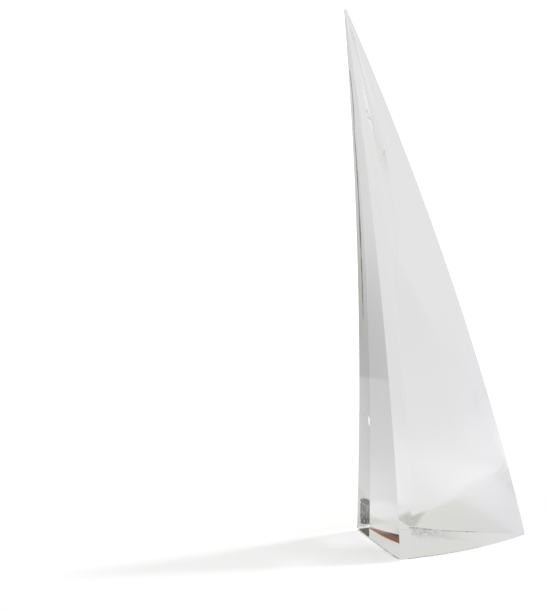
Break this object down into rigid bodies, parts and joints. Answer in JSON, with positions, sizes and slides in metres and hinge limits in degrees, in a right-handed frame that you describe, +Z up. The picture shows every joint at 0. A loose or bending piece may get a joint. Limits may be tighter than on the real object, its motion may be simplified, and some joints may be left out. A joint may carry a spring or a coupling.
{
  "type": "glass sculpture",
  "caption": "Tall leaning spire of clear optical glass with bowed polished faces and a blunt tip, free-standing on low clear bumper feet.",
  "frame": {"origin": "on the standing plane, under the middle of the object's bounding box", "axes": "+Z up, along the height; the tip leans towards -X; -Y faces a viewer who sees the wide bowed face on the right"},
  "size_m": [0.1706, 0.1102, 0.4869],
  "materials": {
    "optical_glass": "cut and polished, clear",
    "bumper": "clear polyurethane, satin",
    "adhesive": "clear acrylic film"
  },
  "bodies": {
    "root": {"glass_spire": "optical_glass", "foot_front": "bumper", "foot_left": "bumper", "foot_right": "bumper", "adhesive_front": "adhesive", "adhesive_left": "adhesive", "adhesive_right": "adhesive"}
  },
  "joints": []
}
